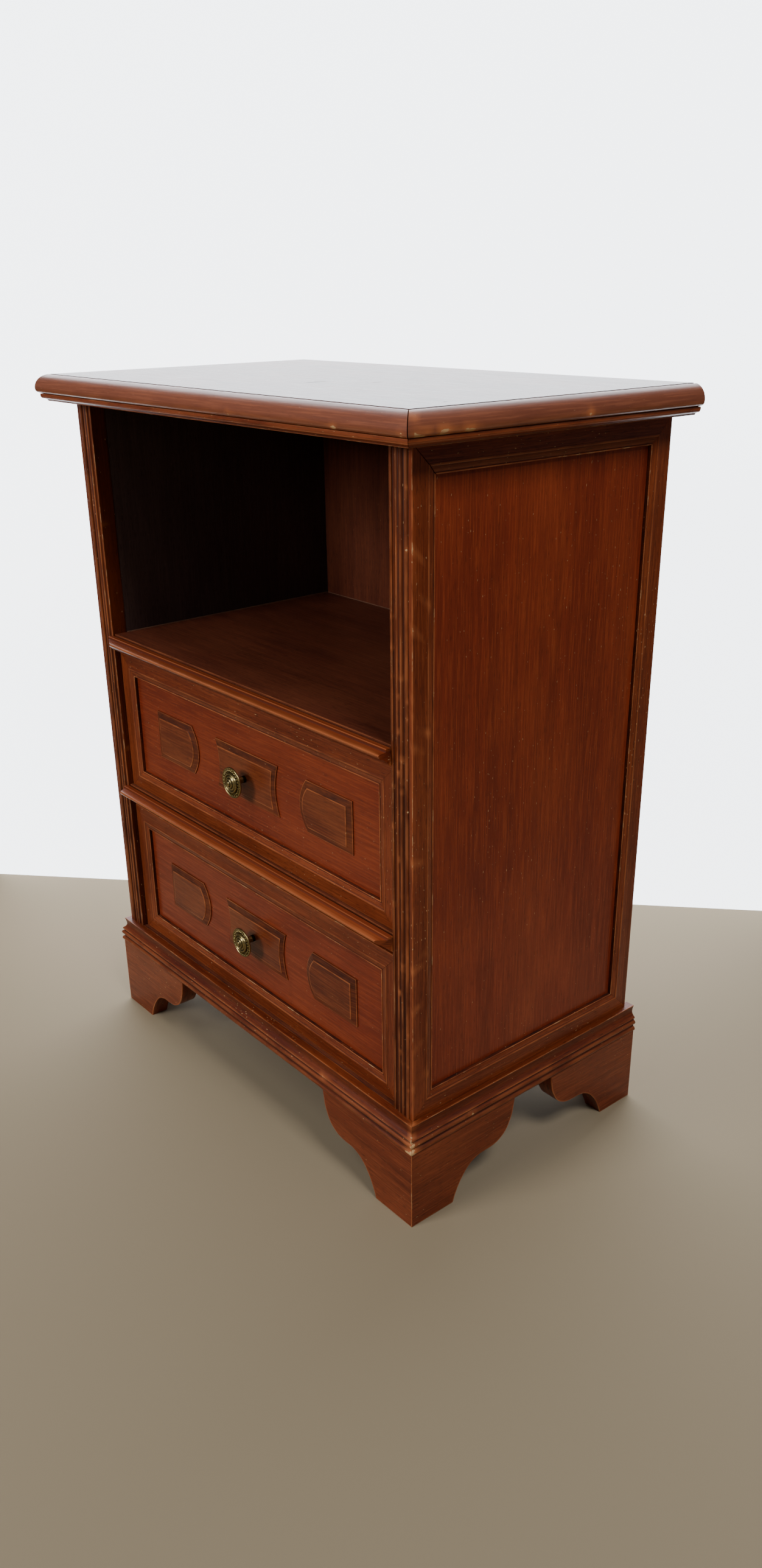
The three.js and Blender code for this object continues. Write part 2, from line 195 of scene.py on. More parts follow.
# mahogany veneer on boards, polished, with long pores
veneer = lacquered_wood("polished_mahogany_veneer", "#612213", "#7e2f1a", "#9e4828", gloss=0.30,
                        figure=0.45, pores=0.6, rubbing=0.5, flecks=0.75)
# strongly figured veneer of the plaques
figured = lacquered_wood("figured_mahogany_veneer", "#4d1d12", "#6b2e19", "#8f4b29", gloss=0.30, figure=0.7,
                         pores=0.8, rubbing=0.9, flecks=0.4)
# the top, polished most
top_veneer = lacquered_wood("polished_mahogany_top", "#431509", "#5a200e", "#6c2d15", gloss=0.27, coat=0.1,
                            sheen=0.25, rubbing=0.4, flecks=0.4)
# old dents in the top: where each lies and how far it reaches, in metres
tree = top_veneer.node_tree
shader = tree.nodes["Principled BSDF"]
spot = add_node(tree, "ShaderNodeUVMap", uv_map="grain").outputs[0]
dents = 0.0
for (along, across), (wide, long) in (((0.021, 0.610), (0.0016, 0.013)), ((0.224, 0.561), (0.0012, 0.0022)),
                                      ((0.060, 0.640), (0.0010, 0.006))):
    near = add_node(tree, "ShaderNodeMapping", {
        "Vector": spot, "Location": (-along / wide, -across / long, 0),
        "Scale": (1 / wide, 1 / long, 1)}).outputs[0]
    away = add_node(tree, "ShaderNodeVectorMath", {0: near}, operation="LENGTH").outputs["Value"]
    dent = add_node(tree, "ShaderNodeMapRange", {
        "Value": away, "From Min": 0.5, "From Max": 1.0, "To Min": 1.0, "To Max": 0.0}).outputs[0]
    dents = add_node(tree, "ShaderNodeMath", {0: dents, 1: dent}, operation="MAXIMUM").outputs[0]
stain = shader.inputs["Base Color"].links[0].from_socket
tree.links.new(add_node(tree, "ShaderNodeMix", {0: dents, 6: stain, 7: DIRT_AND_SHADE}, data_type="RGBA").outputs[2],
               shader.inputs["Base Color"])
polish = shader.inputs["Roughness"].links[0].from_socket
tree.links.new(add_node(tree, "ShaderNodeMath", {0: polish, 1: dents}, operation="MAXIMUM").outputs[0],
               shader.inputs["Roughness"])
flat = shader.inputs["Normal"].links[0].from_socket
tree.links.new(add_node(tree, "ShaderNodeBump", {
    "Strength": 1.0, "Distance": 0.0008, "Height": dents, "Normal": flat}, invert=True).outputs[0],
    shader.inputs["Normal"])
# dark stained boards inside the case, thin lacquer
inside = lacquered_wood("dark_stained_interior_wood", "#472015", "#5c2c1c", "#733d27", sheen=0.3,
                        figure=0.6, rubbing=0.4, flecks=0.3)
# the inner faces of the sides, near-black wood that paints the shade inside the niche
painted_shade_wood = lacquered_wood("black_brown_painted_shade_wood", "#3a2b28", "#463430", "#533f39", gloss=0.45, coat=0.1,
                         sheen=0.28, figure=0.6, rubbing=0.3, flecks=0.2)
# dried glue and dust in the corners of the niche
dried_glue = lacquered_wood("dusty_dried_glue", "#6b4430", "#7d5540", "#91694f", gloss=0.6, coat=0.0,
                            sheen=0.2, rubbing=0.2, flecks=0.2)
# bare pale drawer sides, unfinished
pale = lacquered_wood("bare_pale_drawer_wood", "#9b7247", "#b58a5b", "#c59d6e", pore="#6f4a2a",
                      bare="#cdaa7e", gloss=0.6, coat=0.0, sheen=0.28, rubbing=0.3, flecks=0.2)


# ---------------------------------------------------------------------------
# How a length of wood is made. A section is run from end to end; its corners
# are eased by hand, and every point knows how rubbed it gets and how dusty, the pale arris lines partly
# painted highlight and the dark lips partly painted shade.
SHARPEST, LONG_SIDE, SHOULDER = math.radians(24), 3.2, 1.3   # turns below the first stay; sides, in mm


def eased(section, radius=0.35):
    """Rounds the sharp corners of a closed section. A corner's third value is 1 where it's hidden in a joint
    and on the frames' inner lips, where the dark mask paints a shadow line, and 2 where it's neither rubbed
    nor dusty.
    Shoulder points keep wear, partly painted highlight, near the arris on long sides."""
    points = [(float(c[0]), float(c[1]), c[2] if len(c) > 2 else 0) for c in section]
    area = sum(a[0] * b[1] - b[0] * a[1] for a, b in zip(points, points[1:] + points[:1]))
    if area < 0:
        points.reverse()
    count, out = len(points), []
    for i, (x, y, joint) in enumerate(points):
        here = np.array((x, y))
        back = np.array(points[i - 1][:2]) - here
        on = np.array(points[(i + 1) % count][:2]) - here
        length_back, length_on = np.linalg.norm(back), np.linalg.norm(on)
        back, on = back / length_back, on / length_on
        turn = math.atan2(-back[0] * on[1] + back[1] * on[0], -(back @ on))
        if abs(turn) < SHARPEST:
            out.append((*here, joint))
            continue
        r = min(radius, 0.3 * length_back, 0.3 * length_on)
        if length_back > LONG_SIDE:
            out.append((*(here + back * SHOULDER), 2))
        a, b = here + back * r, here + on * r
        out += [(*a, joint), (*((a + b) / 4 + here / 2), joint), (*b, joint)]
        if length_on > LONG_SIDE:
            out.append((*(here + on * SHOULDER), 2))
    xy = np.array([c[:2] for c in out])
    ahead, behind = np.roll(xy, -1, 0) - xy, xy - np.roll(xy, 1, 0)
    turn = np.arctan2(behind[:, 0] * ahead[:, 1] - behind[:, 1] * ahead[:, 0], (behind * ahead).sum(1))
    bend = turn / (np.linalg.norm(ahead, axis=1) + np.linalg.norm(behind, axis=1)) * 2
    kind = np.array([c[2] for c in out])
    wear_and_highlight = np.where(kind == 0, np.clip(bend * 0.75, 0, 1), 0)
    grime_and_shade = np.where(kind == 1, 1.0, np.where(kind == 0, np.clip(-bend * 0.8, 0, 1), 0))
    return xy, wear_and_highlight, grime_and_shade


def make_piece(name, points, faces, grain, wear_and_highlight, grime_and_shade, material, body, stands_for=()):
    """Turns points and faces into an object that rides on a body, with its grain map, its wear map (partly
    painted highlight) and its dust map (partly painted shade).
    """
    mesh = bpy.data.meshes.new(name)
    mesh.from_pydata(points, [], faces)
    mesh.uv_layers.new(name="grain").data.foreach_set("uv", np.ravel(grain).astype(np.float32))
    for key, values in (("wear_and_highlight", wear_and_highlight), ("grime_and_shade", grime_and_shade)):
        mesh.attributes.new(key, "FLOAT", "POINT").data.foreach_set("value", np.asarray(values, np.float32))
    mesh.polygons.foreach_set("use_smooth", [True] * len(mesh.polygons))
    mesh.set_sharp_from_angle(angle=math.radians(38))
    mesh.materials.append(material)
    made = bpy.data.objects.new(name, mesh)
    bpy.context.scene.collection.objects.link(made)
    if stands_for:
        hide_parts(*stands_for)
    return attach(made, body)


def rings(rows, count):
    """Four-sided faces between rows of points, each row a closed ring."""
    return [(r * count + i, r * count + (i + 1) % count, (r + 1) * count + (i + 1) % count,
             (r + 1) * count + i)
            for r in range(rows - 1) for i in range(count)]


def face_outwards(made):
    """Turns the faces of a closed piece outwards."""
    if sum(p.center.dot(p.normal) * p.area for p in made.data.polygons) < 0:
        made.data.flip_normals()
    return made


pieces_made = []


def fresh_grain(name, along=0.3719, across=0.6180):
    """Every piece is cut from another part of the plank: where its grain starts, in metres."""
    pieces_made.append(name)
    return len(pieces_made) * along % 1 * 5, len(pieces_made) * across % 1 * 3


def run(name, section, start, end, place, material=solid, ends=(0, 0), gaps=(0.05, 0.05), step=12,
        radius=0.35, body="case", slot="solid_wood", stands_for=None):
    """Runs a section from start to end; ends tilt for mitres and gaps hold them off the mitre line."""
    xy, wear_and_highlight, grime_and_shade = eased(section, radius)
    shift = fresh_grain(name)
    first, last = start + gaps[0] + ends[0] * xy[:, 0], end - gaps[1] + ends[1] * xy[:, 0]
    rows = max(2, int(abs(end - start) / step) + 1)
    count = len(xy)
    points, along = [], []
    for share in np.linspace(0, 1, rows):
        t = first + (last - first) * share
        along.append(t / 1000)
        points += [place(t[i], *xy[i]) for i in range(count)]
    round_it = np.concatenate([[0], np.cumsum(np.linalg.norm(np.roll(xy, -1, 0) - xy, axis=1))]) / 1000
    faces, grain = rings(rows, count), []
    for near, far in zip(along, along[1:]):
        for i in range(count):
            j = (i + 1) % count
            grain += [(near[i], round_it[i]), (near[j], round_it[i + 1]), (far[j], round_it[i + 1]),
                      (far[i], round_it[i])]
    last_row = (rows - 1) * count
    faces += [tuple(range(count))[::-1], tuple(range(last_row, last_row + count))]
    grain += [tuple(p / 1000) for p in xy[::-1]] + [tuple(p / 1000) for p in xy]
    # the section is counter-clockwise, so the sides face out only if placing it keeps its handedness
    onward, over, up = (Vector(place(*step_to)) - Vector(place(0, 0, 0)) for step_to in np.eye(3))
    if over.cross(up).dot(onward) < 0:
        mirrored, done = [], 0
        for face in faces:
            mirrored += grain[done:done + len(face)][::-1]
            done += len(face)
        faces, grain = [face[::-1] for face in faces], mirrored
    node = name if stands_for is None else stands_for
    return make_piece(name + "_piece", points, faces, np.array(grain) + shift, np.tile(wear_and_highlight, rows),
                      np.tile(grime_and_shade, rows), material, body, (node,) if node else ())


def board(name, x, y, z, grain_along, material, body="case", slot="interior_wood", joint=1,
          stands_for=None):
    """A plain board between two corners, its grain along x, y or z."""
    spans = {"x": x, "y": y, "z": z}
    (p0, p1), (q0, q1) = (spans[k] for k in "xyz" if k != grain_along)
    order = {"x": at, "y": lambda t, a, b: at(a, t, b), "z": lambda t, a, b: at(a, b, t)}
    section = [(p0, q0, joint), (p1, q0, joint), (p1, q1, joint), (p0, q1, joint)]
    return run(name, section, *spans[grain_along], order[grain_along], material, step=60, body=body,
               slot=slot, gaps=(0, 0), stands_for=stands_for)


def span(node):
    """How far a CAD node reaches along x, in depth and in height, in millimetres."""
    low, high = (corner * 1000 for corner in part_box(node))
    return (low.x, high.x), (low.y - FRONT, high.y - FRONT), (low.z, high.z)


def knock(name, spots):
    """Bruises a finished length: each spot has its place, its reach in millimetres and how bare it is."""
    mesh = bpy.data.objects[name + "_piece"].data
    values = np.zeros(len(mesh.vertices), np.float32)
    mesh.attributes["wear_and_highlight"].data.foreach_get("value", values)
    where = np.array([v.co for v in mesh.vertices])
    for place, reach, bare in spots:
        away = np.linalg.norm(where - np.array(at(*place)), axis=1) * 1000 / reach
        values = np.maximum(values, bare * np.clip(1.4 - away, 0, 1))
    mesh.attributes["wear_and_highlight"].data.foreach_set("value", values.astype(np.float32))


def surround(name, section, inner_front, inner_side, back, corner_gap=0.1, radius=0.35, step=12,
             material=solid):
    """Three lengths mitred at the front corners and cut square at the back."""
    cut = [[(max(c[0], inner), *c[1:]) for c in section] for inner in (inner_front, inner_side)]
    run(name + "_front", cut[0], -HALF, HALF, lambda t, n, z: at(t, -n, z), ends=(-1, 1),
        gaps=(0.1, corner_gap), radius=radius, step=step, material=material)
    for side, s in SIDES:
        run(f"{name}_{side}", cut[1], 0, back, lambda t, n, z: at(s * (HALF + n), t, z), ends=(-1, 0),
            gaps=(corner_gap if s > 0 else 0.1, 0), radius=radius, step=step, material=material)


# ---------------------------------------------------------------------------
# Top. A veneered board with a solid ovolo glued to its front and side edges,
# mitred at the front and square at the back; the near mitre has opened.
TOP, TOP_UNDER, JOINT = 650.0, 633.5, 14.1
(left, right), (near, rear), _ = span("top_board")
points, darkening = [], []
for inset, level, dusty in ((0, TOP_UNDER, 0), (0, TOP - 0.5, 1), (0.15, TOP - 0.1, 1), (0.5, TOP, 0.9),
                            (1.1, TOP, 0)):
    low, high = (left + inset, near + inset), (right - inset, rear - inset)
    points += [at(*low, level), at(high[0], low[1], level), at(*high, level), at(low[0], high[1], level)]
    darkening += [dusty] * 4
faces = rings(5, 4) + [(3, 2, 1, 0), (16, 17, 18, 19)]
grain = [(points[i][0], points[i][1] + points[i][2]) for face in faces for i in face]
make_piece("top_board_piece", points, faces, grain, [0] * len(points), darkening, top_veneer, "case",
           ("top_board",))
curve = [(JOINT + 11.3 * math.cos(a), 638.2 + 11.8 * math.sin(a)) for a in np.radians(np.arange(0, 82, 6))]
surround("top_edge", [
    (JOINT, TOP_UNDER, 1), (19.5, TOP_UNDER), (21.2, 633.7), (22.6, 634.15), (23.9, 634.8), (24.8, 635.6),
    (25.25, 636.8), *curve, (JOINT + 1.0, 649.6), (JOINT + 0.15, 649.5, 1)], JOINT, JOINT, TOP_BACK,
    corner_gap=0.45, step=5, material=shaped_painted_sheen)
knock("top_edge_right", [((HALF + 23, d, 636), 5, 1.35) for d in (-18, -11, 4, 10, 24, 31)]
      + [((HALF + 18, -18, 646), 6, 1.4), ((HALF + 24, 140, 638), 5, 1.2)])
knock("top_edge_front", [((HALF + 18, -24, 636), 4, 1.2), ((180, -25, 635), 4, 1.5),
                         ((60, -25, 636), 4, 1.3)])

# Cornice. A small fillet, quarter round and cove below the top, mitred lengths
# glued under the overhang and onto the case.
CORNICE = 627.4
surround("cornice", [
    (-24, CORNICE), (17.5, CORNICE), (17.6, 627.9), (18.0, 628.45), (18.7, 628.95), (19.6, 629.3),
    (20.6, 629.5), (21.3, 629.8), (21.8, 630.25), (22.05, 630.8), (22.1, 631.1), (22.3, 631.2),
    (22.3, TOP_UNDER), (-24, TOP_UNDER)],
    -20, -24, TOP_BACK, corner_gap=0.2)

# ---------------------------------------------------------------------------
# Case boards. Veneered sides, thin back held between them, shelf, divider and
# bottom, and the rail behind the base moulding. Glued; only the sides show outside.
for side, s in SIDES:
    panel = board(f"side_panel_{side}", *span(f"side_panel_{side}"), "z", veneer, slot="veneer")
    # the inner faces take the near-black wood, painted shade for the dark inside of the niche
    panel.data.materials.append(painted_shade_wood)
    for face in panel.data.polygons:
        face.material_index = int(face.normal.x * s < -0.7)
board("back_panel", *span("back_panel"), "z", inside)
for name in ("niche_shelf", "drawer_divider", "bottom_board"):
    x, y, z = span(name)
    board(name, x, y, z, "x", inside, joint=0)
board("bottom_rail", *span("bottom_rail"), "x", inside)
(_, rear), (_, rise) = span("niche_shelf")[1:]
seam = [(0, 0, 1), (0.7, 0, 1), (0.4, 0.25), (0.2, 0.5), (0, 0.8, 1)]
run("niche_glue_line_rear", [(rear - 0.05 - a, rise + 0.02 + b, *c) for a, b, *c in seam],
    -OPENING + 1, OPENING - 1, at, dried_glue, stands_for="")
for side, s in SIDES:
    run(f"niche_glue_line_{side}", seam, 16.5, rear - 1,
        lambda t, a, b: at(s * (OPENING - 0.05 - a), t, rise + 0.02 + b), dried_glue, stands_for="")

# Reeded posts. Solid strips on the front edges of the sides: a fillet, a flat,
# two low reeds and a bead, worn pale along their crests.
reeds = [(0, 1.3), (0.4, 1.0), (2.0, 1.0), (2.3, 1.5), (2.6, 2.3), (6.0, 2.3), (6.3, 1.2), (6.7, 0.75),
         (7.1, 0.6), (7.5, 0.7), (8.0, 1.0), (8.5, 1.45), (9.0, 1.6), (9.5, 1.5), (10.1, 1.1), (10.7, 0.65),
         (11.3, 0.5), (11.9, 0.55), (12.5, 0.9), (13.0, 1.45), (13.6, 2.0), (14.4, 2.2), (15.2, 2.2)]
reeds += [(17.3 + 1.8 * math.cos(a), 1.8 - 1.8 * math.sin(a)) for a in np.radians(np.linspace(172, 8, 11))]
for side, s in SIDES:
    x, y, z = span(f"front_post_{side}")
    run(f"front_post_{side}", [(0, 16, 1), *reeds, (19.4, 2.5, 1), (19.4, 16, 1)], *z,
        lambda t, d, y: at(s * (OPENING + d), y, t), knocked, gaps=(0, 0), radius=0.2, step=2.5)
# chipped crests: how far each lies from the opening, and the heights of its chips
CHIPPED = {
    "right": ((0.5, (512, 490, 470, 386, 355, 290)), (7.2, (456, 430, 398, 330, 215, 160)),
              (11.5, (470, 410, 392, 385, 300, 240, 236, 150)),
              (18.6, (600, 560, 455, 441, 372, 250, 205, 180, 150, 128))),
    "left": ((1.2, (520, 300)), (18.6, (480, 210))),
}
for side, s in SIDES:
    knock(f"front_post_{side}", [((s * (OPENING + crest), 1.0, h), 2.4, 0.82 + 0.2 * math.sin(h))
                                 for crest, heights in CHIPPED[side] for h in heights])

# Nosings. The shelf and the divider are edged with a thumb moulding; its ends
# are splayed back where they meet the posts.
for name, top, splay in (("niche_shelf_nosing", 415.7, (2.0, 0)),
                         ("drawer_divider_nosing", 261.9, (0.6, 1.1))):
    section = [(3.5, -3.0, 1), (1.0, -3.0, 1), (1.0, 0), (-3.3, 0), (-3.6, -0.3), (-3.6, -2.1),
               (-4.1, -2.5), (-6.5, -2.6), (-8.9, -2.8), (-9.7, -2.95), (-10.3, -3.2), (-10.7, -3.6),
               (-10.8, -4.1), (-10.7, -4.8), (-10.0, -5.9), (-9.3, -6.4), (-8.5, -6.8), (-7.5, -7.2),
               (-6.6, -7.6), (-5.6, -8.2), (-4.6, -8.9), (-3.6, -9.75), (-2.6, -10.7), (-1.7, -11.75),
               (-0.9, -12.8), (0.5, -13.7), (3.5, -13.7, 1)]
    left, right = splay
    run(name, [(y, top + c[0], *c[1:]) for y, *c in section], 0, 1,
        lambda t, y, z: at((2 * t - 1) * OPENING - (t * right - (1 - t) * left) * max(0, -y - 3.6), y, z),
        step=0.02, gaps=(0, 0), radius=0.25)
    knock(name, [((x, -10.3, top - 3.3), 5, 0.72 + 0.16 * math.sin(x * 1.7)) for x in range(-198, 200, 8)])

# ---------------------------------------------------------------------------
# Frame mouldings. A flat band, a small crest, an ogee slope and an arris, cut
# to a mitre and planted on the sides and on the drawer fronts.
# the inner lip is marked as a joint, so the dark mask paints the shadow line round each panel and drawer
# field
band = [(0, 0, 1), (0, 3.9), (0.4, 4.2), (2.4, 4.2), (13.3, 4.2), (13.7, 4.3), (14.1, 4.5), (14.6, 4.6),
        (15.1, 4.5), (15.5, 4.25), (15.8, 3.95), (16.6, 3.88), (17.6, 3.7), (18.8, 3.3), (19.5, 3.0),
        (19.9, 2.8), (20.2, 2.85), (20.5, 3.2), (20.9, 3.3), (21.25, 3.1), (21.4, 2.8, 1), (21.4, 0, 1),
        (2.4, 0, 1)]


def picture_frame(name, ends, u, v, place, trim=0.0, gap=0.08, open_corner=0.0, body="case", step=12):
    """Four mitred lengths round a rectangle; the bottom one can be narrower."""
    low = v[0] - trim
    narrow = [c for c in band if c[0] >= trim] if trim else band
    if trim:
        narrow = [(trim, 4.2), *[c for c in narrow if c[0] > trim], (trim, 0, 1)]
    lengths = (
        (band, u, lambda t, w, h: place(t, v[1] - w, h), (gap + open_corner, gap)),
        (narrow, u, lambda t, w, h: place(t, low + w, h), (gap, gap)),
        (band, (low, v[1]), lambda t, w, h: place(u[0] + w, max(t, v[0]), h), (gap, gap)),
        (band, (low, v[1]), lambda t, w, h: place(u[1] - w, max(t, v[0]), h), (gap, gap)))
    for end, (section, (start, stop), put, gaps) in zip(ends, lengths):
        run(f"{name}_{end}", section, start, stop, put, ends=(1, -1), gaps=gaps, radius=0.25, body=body,
            step=step)


for side, s in SIDES:
    face = span(f"side_panel_{side}")[0][1 if s > 0 else 0]
    picture_frame(f"side_frame_{side}", ("top", "bottom", "front", "rear"), (1, CASE_BACK),
                  (100.5, CORNICE), lambda d, z, h: at(face + s * h, d, z),
                  open_corner=0.8 if s > 0 else 0.1, step=6)
edge_chips, crest_chips = (560, 505, 460, 448, 420, 330, 292, 240, 205, 170, 130), (520, 430, 250, 140)
knock("side_frame_right_front", [((HALF, 1.2, z), 2.6, 1.0) for z in edge_chips]
      + [((HALF, 16, z), 2.6, 0.9) for z in crest_chips])

# ---------------------------------------------------------------------------
# Base moulding. Ledge, cove, flared lip and two beads, solid lengths mitred at
# the front corners, pinned round the foot of the case and square at the back.
bead = [[(cx + r * math.cos(a), cz + r * math.sin(a)) for a in np.radians(np.linspace(-75, 75, 9))]
        for cx, cz, r in ((5.5, 76.4, 2.6), (5.7, 83.3, 2.4))]
surround("base_moulding", [
    (-4.6, 73.7, 1), *bead[0], (6.0, 79.3), (6.0, 80.6), *bead[1], (5.9, 86.0), (5.9, 86.9), (6.5, 87.1),
    (6.9, 87.5), (7.1, 88.2), (6.8, 88.7), (6.3, 89.2), (5.6, 89.75), (5.0, 90.3), (4.4, 91.0), (3.9, 91.8),
    (3.5, 92.6), (3.3, 93.5), (3.3, 94.5), (3.4, 95.5), (3.6, 96.5), (3.8, 97.5), (4.1, 98.5), (4.3, 99.2),
    (4.6, 99.9), (4.6, 100.5), (-4.6, 100.5)],
    -3, -4.6, BASE_BACK, corner_gap=0.15, radius=0.25, step=6, material=stained)
for side in ("right", "front"):
    knock(f"base_moulding_{side}", [((HALF + 7, -7, 76), 7, 1.6), ((HALF + 7, -7, 84), 6, 1.3),
                                    ((HALF + 6, -6, 89), 5, 1.3), ((HALF + 3, -3, 100), 5, 1.0),
                                    ((HALF + 7, 60, 84), 4, 1.0), ((120, -7, 88), 4, 1.0)])

# ---------------------------------------------------------------------------
# Bracket feet. Two scalloped boards mitred at each corner, with a glue block
# behind the mitre; sawn by eye, edges lightly eased.
SAWN = [(46.7, 0), (49.2, 6.8), (52.4, 13.6), (55.3, 18.7), (58.4, 22.9), (61.1, 26.2), (64.1, 29.0),
        (67.1, 31.3), (70.4, 33.1), (74.6, 34.7), (79.0, 35.5), (83.2, 35.6), (87.3, 35.6), (91.6, 35.9),
        (95.7, 36.5), (98.8, 37.4), (101.6, 38.7), (105.4, 41.0), (108.5, 43.7), (110.9, 46.9),
        (112.9, 50.6), (115.0, 55.0), (116.6, 59.7), (117.6, 65.5), (118.8, 73.7)]
FOOT_OUT, FOOT_THICK, FOOT_TOP, ARRIS = 6.6, 18.0, 73.7, 0.5


def bracket(name, place, trim, stands_for, nib=0.0):
    """One scalloped board: outer face, eased edge, inner face; a nib leaves room for the corner's arris."""
    outline = [(0.0, 0.0)] + [(d - trim, z) for d, z in SAWN] + [(0.0, FOOT_TOP)]
    count, points, wear_and_highlight = len(outline), [], []
    base = np.array(outline)
    ahead, behind = np.roll(base, -1, 0) - base, base - np.roll(base, 1, 0)
    normal = sum(way / np.linalg.norm(way, axis=1)[:, None] for way in (ahead, behind))
    normal = np.stack([normal[:, 1], -normal[:, 0]], 1)
    normal /= np.linalg.norm(normal, axis=1)[:, None]
    for depth, ease, rubbed_and_highlit in ((0, 1.6, 0), (0, 0.35, 0.9), (0.1, 0.1, 1), (0.35, 0, 0.9), (1.6, 0, 0),
                                (FOOT_THICK, 0, 0)):
        for i, (d, z) in enumerate(base - normal * ease):
            end = i in (0, count - 1)
            points.append(place(depth, max(depth, nib), min(max(z, 0), FOOT_TOP)) if end else
                          place(depth, max(0, d), min(z, FOOT_TOP)))
            wear_and_highlight.append(0 if outline[i][1] == FOOT_TOP else rubbed_and_highlit)
    rows = len(points) // count
    faces = rings(rows, count) + [tuple(range(count))[::-1], tuple(range((rows - 1) * count, rows * count))]
    length = np.concatenate([[0], np.cumsum(np.linalg.norm(ahead, axis=1))]) / 1000
    strip = 0.004
    grain = [(length[i + across], (r + deep) * strip) for r in range(rows - 1) for i in range(count)
             for across, deep in ((0, 0), (1, 0), (1, 1), (0, 1))]
    grain = np.array(grain + [*base[::-1] / 1000, *base / 1000]) + fresh_grain(name, 0.37, 0.62)
    return face_outwards(make_piece(name, points, faces, grain, wear_and_highlight, [0] * len(points), solid, "case",
                                    stands_for))


for side, s in SIDES:
    edge = HALF + FOOT_OUT
    for end, face, way, trim in (("front", -FOOT_OUT, 1, 0.0), ("rear", BASE_BACK, -1, 5.8)):
        node = f"foot_{end}_{side}"
        nib = ARRIS if end == "front" else 0.0
        bracket(node + "_across", lambda t, d, z: at(s * (edge - d), face + way * t, z), 0.0, (node,), nib)
        bracket(node + "_along", lambda t, d, z: at(s * (edge - t), face + way * d, z), trim, (), nib)
        if nib:
            # the rubbed arris where the two boards meet
            run(node + "_arris", [(0, 0), (nib, 0, 2), (nib, nib, 2), (0, nib, 2)], 0, FOOT_TOP,
                lambda t, a, b: at(s * (edge - a), face + way * b, t), solid, gaps=(0, 0), step=3,
                radius=0.1, stands_for="")
            knock(node + "_arris", [((s * edge, face, z), 8, 0.8 + 0.3 * math.sin(z * 0.9))
                                    for z in range(2, 72, 5)])
        block = [(18.2, 18.2), (44, 18.2), (18.2, 44)]
        run(node + "_glue_block", block, 8, FOOT_TOP - 0.2,
            lambda t, a, b: at(s * (edge - a), face + way * b, t), pale, gaps=(0, 0),
            slot="drawer_box_wood", stands_for="")

# ---------------------------------------------------------------------------
# Knobs. Turned brass on a slim stem, rings cut in the face and a roped rim,
# browned in the hollows. One machine screw holds each from inside the front.
brass = bpy.data.materials.new("antique_brass_browned")
brass.use_nodes = True
tree = brass.node_tree
shader = tree.nodes["Principled BSDF"]
where = add_node(tree, "ShaderNodeTexCoord").outputs["Object"]
mottle = add_node(tree, "ShaderNodeTexNoise", {
    "Vector": where, "Scale": 700.0, "Detail": 4.0, "Roughness": 0.6}).outputs["Fac"]
lodged = add_node(tree, "ShaderNodeAttribute", attribute_name="grime_and_shade").outputs["Fac"]
tarnish = add_node(tree, "ShaderNodeMath", {0: lodged, 1: mottle}, operation="ADD").outputs[0]
tarnish = add_node(tree, "ShaderNodeMapRange", {
    "Value": tarnish, "From Min": 0.45, "From Max": 1.15}).outputs[0]
tone = add_node(tree, "ShaderNodeMix", {0: tarnish, 6: srgb("#9c8a5c"), 7: srgb("#1f190e")},
                data_type="RGBA").outputs[2]
tree.links.new(tone, shader.inputs["Base Color"])
tree.links.new(add_node(tree, "ShaderNodeMapRange", {
    "Value": tarnish, "To Min": 0.27, "To Max": 0.62}).outputs[0], shader.inputs["Roughness"])
shader.inputs["Metallic"].default_value = 1.0
tree.links.new(add_node(tree, "ShaderNodeBump", {
    "Strength": 0.3, "Distance": 0.0001, "Height": mottle}).outputs[0], shader.inputs["Normal"])

steel = bpy.data.materials.new("dull_zinc_plated_steel")
steel.use_nodes = True
tree = steel.node_tree
shader = tree.nodes["Principled BSDF"]
speck = add_node(tree, "ShaderNodeTexNoise", {
    "Vector": add_node(tree, "ShaderNodeTexCoord").outputs["Object"], "Scale": 900.0,
    "Detail": 3.0}).outputs["Fac"]
tree.links.new(add_node(tree, "ShaderNodeMix", {
    0: speck, 6: srgb("#8d8c88"), 7: srgb("#5d5a55")}, data_type="RGBA").outputs[2],
               shader.inputs["Base Color"])
tree.links.new(add_node(tree, "ShaderNodeMapRange", {
    "Value": speck, "To Min": 0.35, "To Max": 0.6}).outputs[0], shader.inputs["Roughness"])
shader.inputs["Metallic"].default_value = 1.0

# Repeats set out along a line: beads of the roped rim, pins of the back panel.
spread = bpy.data.node_groups.new("repeats_along_a_line", "GeometryNodeTree")
for label, kind, value in (("Line", "NodeSocketGeometry", None), ("Count", "NodeSocketInt", 10),
                           ("Size", "NodeSocketVector", (0.001, 0.001, 0.001)),
                           ("Tilt", "NodeSocketFloat", 0.0), ("Follow line", "NodeSocketBool", True),
                           ("Unevenness", "NodeSocketFloat", 0.05), ("Seed", "NodeSocketInt", 1),
                           ("Material", "NodeSocketMaterial", None)):
    socket = spread.interface.new_socket(label, in_out="INPUT", socket_type=kind)
    if value is not None:
        socket.default_value = value
spread.interface.new_socket("Repeats", in_out="OUTPUT", socket_type="NodeSocketGeometry")
given = add_node(spread, "NodeGroupInput").outputs
curve_line = add_node(spread, "GeometryNodeMeshToCurve", {0: given["Line"]}).outputs[0]
places = add_node(spread, "GeometryNodeCurveToPoints", {"Curve": curve_line, "Count": given["Count"]},
                  mode="COUNT")
ball = add_node(spread, "GeometryNodeMeshUVSphere", {"Segments": 14, "Rings": 9, "Radius": 1.0}).outputs[0]
turn = add_node(spread, "FunctionNodeRotateRotation", {
    0: places.outputs["Rotation"],
    1: add_node(spread, "ShaderNodeCombineXYZ", {"X": given["Tilt"]}).outputs[0]
}, rotation_space="LOCAL").outputs[0]
turn = add_node(spread, "GeometryNodeSwitch", {0: given["Follow line"], 2: turn},
                input_type="ROTATION").outputs[0]
